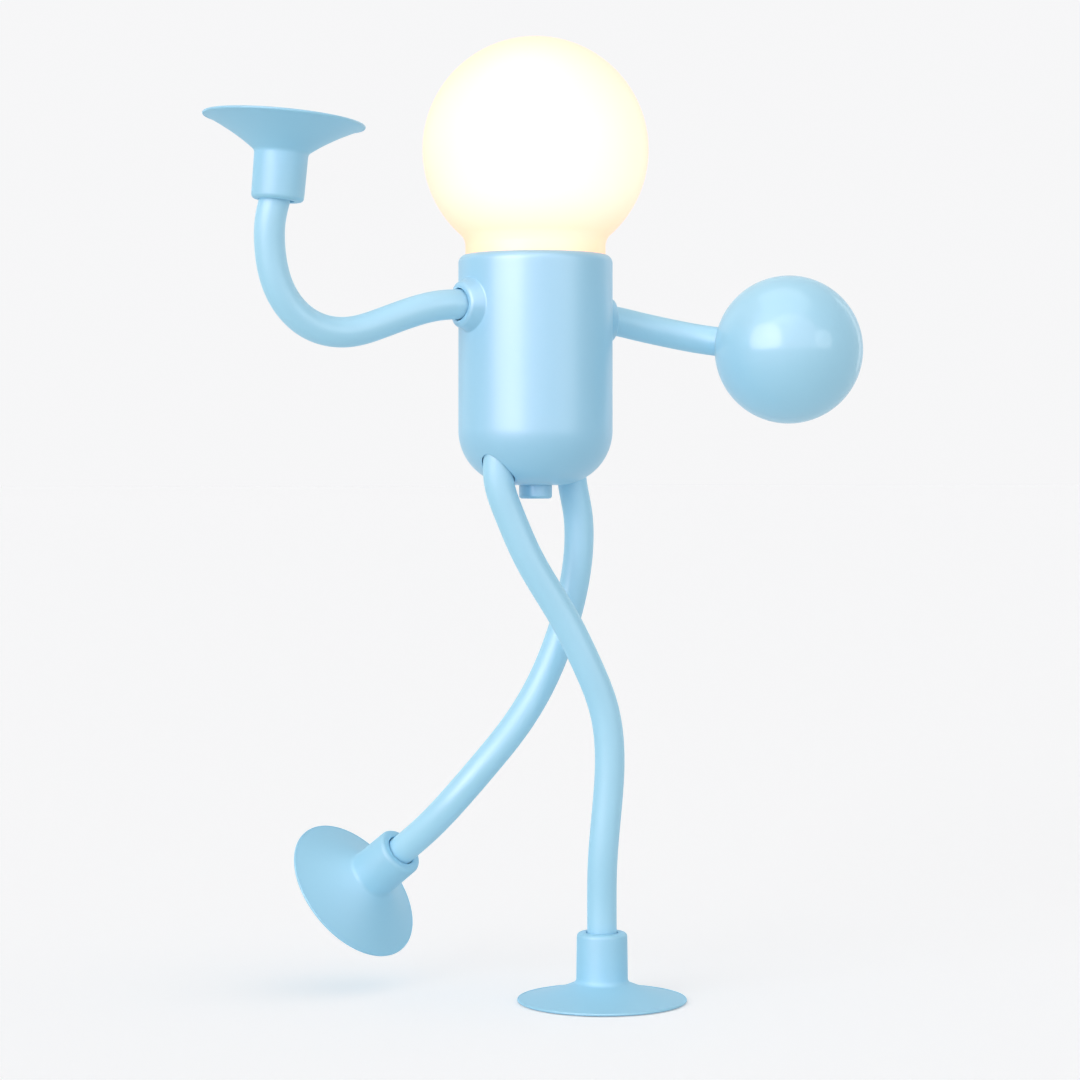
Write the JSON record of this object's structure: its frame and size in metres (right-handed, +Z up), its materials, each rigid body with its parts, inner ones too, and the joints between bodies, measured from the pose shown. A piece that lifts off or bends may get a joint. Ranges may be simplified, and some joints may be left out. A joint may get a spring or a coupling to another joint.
{
  "type": "posable figure lamp",
  "caption": "Posable figure lamp: cup-shaped torso, glowing globe head, bendable tube arms and legs, suction-cup feet, one suction-cup hand and one ball hand.",
  "frame": {"origin": "centre of the standing suction cup, on the surface that it grips", "axes": "+Z up from the surface to the globe, +X along the shoulders towards the ball arm, +Y to the back of the torso, where the charging inlet is"},
  "size_m": [0.206, 0.1255, 0.2993],
  "materials": {
    "torso_blue": "satin moulded light blue",
    "ball_blue": "smooth light blue",
    "cup_blue": "satin light blue silicone",
    "sleeve_blue": "satin light blue silicone",
    "wire_aluminium": "drawn",
    "plug_white": "moulded",
    "spring_steel": "plain",
    "bush_brass": "turned",
    "cell_sleeve": "blue shrink sleeve",
    "board_green": "circuit board",
    "part_black": "moulded",
    "led_white": "white board",
    "led_chip": "yellow phosphor",
    "globe_white": "milky, softly glossy",
    "inner_white": "moulded white"
  },
  "bodies": {
    "torso": {"torso_shell": "torso_blue", "socket_ring": "inner_white", "ring_screws": "spring_steel", "chassis": "inner_white", "battery_cell": "cell_sleeve", "battery_contacts": "spring_steel", "driver_board": "board_green", "board_parts": "part_black", "charging_inlet": "spring_steel", "shoulder_bushes": "bush_brass", "hip_bushes": "bush_brass", "switch_body": "part_black", "button_spring": "spring_steel", "contact_spring": "spring_steel"},
    "contact": {"contact_pin": "bush_brass"},
    "head": {"diffuser_globe": "globe_white", "bulb_base": "inner_white", "led_board": "led_white", "led_chips": "led_chip"},
    "button": {"button_cap": "torso_blue"},
    "cup_arm_root": {"cup_arm_root_plug": "plug_white", "cup_arm_root_clip": "spring_steel", "cup_arm_shoulder_flex": "sleeve_blue", "cup_arm_wire": "wire_aluminium"},
    "cup_arm_upper_body": {"cup_arm_upper": "sleeve_blue", "cup_arm_elbow_flex": "sleeve_blue"},
    "cup_arm_fore_body": {"cup_arm_fore": "sleeve_blue", "cup_arm_wrist_flex": "sleeve_blue"},
    "hand_body": {"cup_arm_end_plug": "plug_white", "hand_cup": "cup_blue"},
    "ball_arm_root": {"ball_arm_root_plug": "plug_white", "ball_arm_root_clip": "spring_steel", "ball_arm_shoulder_flex": "sleeve_blue", "ball_arm_wire": "wire_aluminium"},
    "ball_arm_fore_body": {"ball_arm_fore": "sleeve_blue", "ball_arm_wrist_flex": "sleeve_blue"},
    "ball_body": {"ball_arm_end_plug": "plug_white", "ball_near_half": "ball_blue", "ball_far_half": "ball_blue"},
    "standing_leg_root": {"standing_leg_root_plug": "plug_white", "standing_leg_root_clip": "spring_steel", "standing_leg_hip_flex": "sleeve_blue", "standing_leg_wire": "wire_aluminium"},
    "standing_leg_thigh_body": {"standing_leg_thigh": "sleeve_blue", "standing_leg_knee_flex": "sleeve_blue"},
    "standing_leg_shin_body": {"standing_leg_shin": "sleeve_blue", "standing_leg_ankle_flex": "sleeve_blue"},
    "standing_foot_body": {"standing_leg_end_plug": "plug_white", "standing_foot_cup": "cup_blue"},
    "raised_leg_root": {"raised_leg_root_plug": "plug_white", "raised_leg_root_clip": "spring_steel", "raised_leg_hip_flex": "sleeve_blue", "raised_leg_wire": "wire_aluminium"},
    "raised_leg_thigh_body": {"raised_leg_thigh": "sleeve_blue", "raised_leg_knee_flex": "sleeve_blue"},
    "raised_leg_shin_body": {"raised_leg_shin": "sleeve_blue", "raised_leg_ankle_flex": "sleeve_blue"},
    "raised_foot_body": {"raised_leg_end_plug": "plug_white", "raised_foot_cup": "cup_blue"}
  },
  "joints": [
    {"name": "cup_arm_swivel", "type": "hinge", "parent": "torso", "child": "cup_arm_root", "pos_m": [-0.0401, 0.0076, 0.2157], "axis": [-1, 0, 0], "range_deg": [-120, 120]},
    {"name": "cup_arm_shoulder_bend", "type": "hinge", "parent": "cup_arm_root", "child": "cup_arm_upper_body", "pos_m": [-0.0541, 0.009, 0.2148], "axis": [0.1647, 0.986, 0.026], "range_deg": [-45, 15], "deforming": ["cup_arm_shoulder_flex", "cup_arm_wire"]},
    {"name": "cup_arm_elbow_bend", "type": "hinge", "parent": "cup_arm_upper_body", "child": "cup_arm_fore_body", "pos_m": [-0.0933, 0.0159, 0.2091], "axis": [0.1657, 0.9845, 0.057], "range_deg": [-60, 20], "deforming": ["cup_arm_elbow_flex"]},
    {"name": "cup_arm_wrist_bend", "type": "hinge", "parent": "cup_arm_fore_body", "child": "hand_body", "pos_m": [-0.106, 0.0159, 0.2389], "axis": [0.0131, 0.9941, 0.1076], "range_deg": [-45, 30], "deforming": ["cup_arm_wrist_flex"]},
    {"name": "ball_arm_swivel", "type": "hinge", "parent": "torso", "child": "ball_arm_root", "pos_m": [0.0009, 0.0076, 0.2123], "axis": [1, 0, 0], "range_deg": [-120, 120]},
    {"name": "ball_arm_shoulder_bend", "type": "hinge", "parent": "ball_arm_root", "child": "ball_arm_fore_body", "pos_m": [0.0121, 0.0075, 0.2116], "axis": [-0.0544, -0.9985, 0.0071], "range_deg": [-25, 40], "deforming": ["ball_arm_shoulder_flex", "ball_arm_wire"]},
    {"name": "ball_arm_wrist_bend", "type": "hinge", "parent": "ball_arm_fore_body", "child": "ball_body", "pos_m": [0.0333, 0.0004, 0.2073], "axis": [-0.574, -0.8188, -0.0131], "range_deg": [-30, 40], "deforming": ["ball_arm_wrist_flex"]},
    {"name": "standing_leg_swivel", "type": "hinge", "parent": "torso", "child": "standing_leg_root", "pos_m": [-0.0358, 0.0026, 0.1715], "axis": [0, 0, 1], "range_deg": [-60, 15]},
    {"name": "standing_leg_hip_bend", "type": "hinge", "parent": "standing_leg_root", "child": "standing_leg_thigh_body", "pos_m": [-0.0318, 0.0015, 0.15], "axis": [0.9418, 0.0329, 0.3345], "range_deg": [-30, 10], "deforming": ["standing_leg_hip_flex", "standing_leg_wire"]},
    {"name": "standing_leg_knee_bend", "type": "hinge", "parent": "standing_leg_thigh_body", "child": "standing_leg_shin_body", "pos_m": [-0.0031, -0.0054, 0.0915], "axis": [0.9589, 0.0058, 0.2836], "range_deg": [-40, 30], "deforming": ["standing_leg_knee_flex"]},
    {"name": "standing_leg_ankle_bend", "type": "hinge", "parent": "standing_leg_shin_body", "child": "standing_foot_body", "pos_m": [-0.0006, -0.0008, 0.0315], "axis": [0.9983, -0.0057, 0.0577], "range_deg": [-35, 35], "deforming": ["standing_leg_ankle_flex"]},
    {"name": "raised_leg_swivel", "type": "hinge", "parent": "torso", "child": "raised_leg_root", "pos_m": [-0.0034, 0.0126, 0.1715], "axis": [0, 0, 1], "range_deg": [-60, 15]},
    {"name": "raised_leg_hip_bend", "type": "hinge", "parent": "raised_leg_root", "child": "raised_leg_thigh_body", "pos_m": [-0.0015, 0.0122, 0.152], "axis": [0.9937, 0.0019, 0.1122], "range_deg": [-10, 30], "deforming": ["raised_leg_hip_flex", "raised_leg_wire"]},
    {"name": "raised_leg_knee_bend", "type": "hinge", "parent": "raised_leg_thigh_body", "child": "raised_leg_shin_body", "pos_m": [-0.0126, 0.0174, 0.0968], "axis": [0.8893, 0.068, -0.4523], "range_deg": [-40, 40], "deforming": ["raised_leg_knee_flex"]},
    {"name": "raised_leg_ankle_bend", "type": "hinge", "parent": "raised_leg_shin_body", "child": "raised_foot_body", "pos_m": [-0.0417, 0.0371, 0.0527], "axis": [0.9421, 0.2463, -0.2275], "range_deg": [-45, 45], "deforming": ["raised_leg_ankle_flex"]},
    {"name": "bulb_rise", "type": "slide", "parent": "torso", "child": "contact", "axis": [0, 0, 1], "range_m": [0, 0.003], "stiffness_N_per_m": 60, "springref_m": 0.009, "deforming": ["contact_spring"]},
    {"name": "bulb_turn", "type": "hinge", "parent": "contact", "child": "head", "pos_m": [-0.0196, 0.0076, 0.2236], "axis": [0, 0, 1], "range_deg": [0, 360]},
    {"name": "button_press", "type": "slide", "parent": "torso", "child": "button", "axis": [0, 0, 1], "range_m": [0, 0.0015], "stiffness_N_per_m": 600, "springref_m": -0.001, "deforming": ["button_spring"]}
  ],
  "couplings": [
    {"joint": "bulb_turn", "follows": "bulb_rise", "rad_per_m": 2094.4}
  ]
}
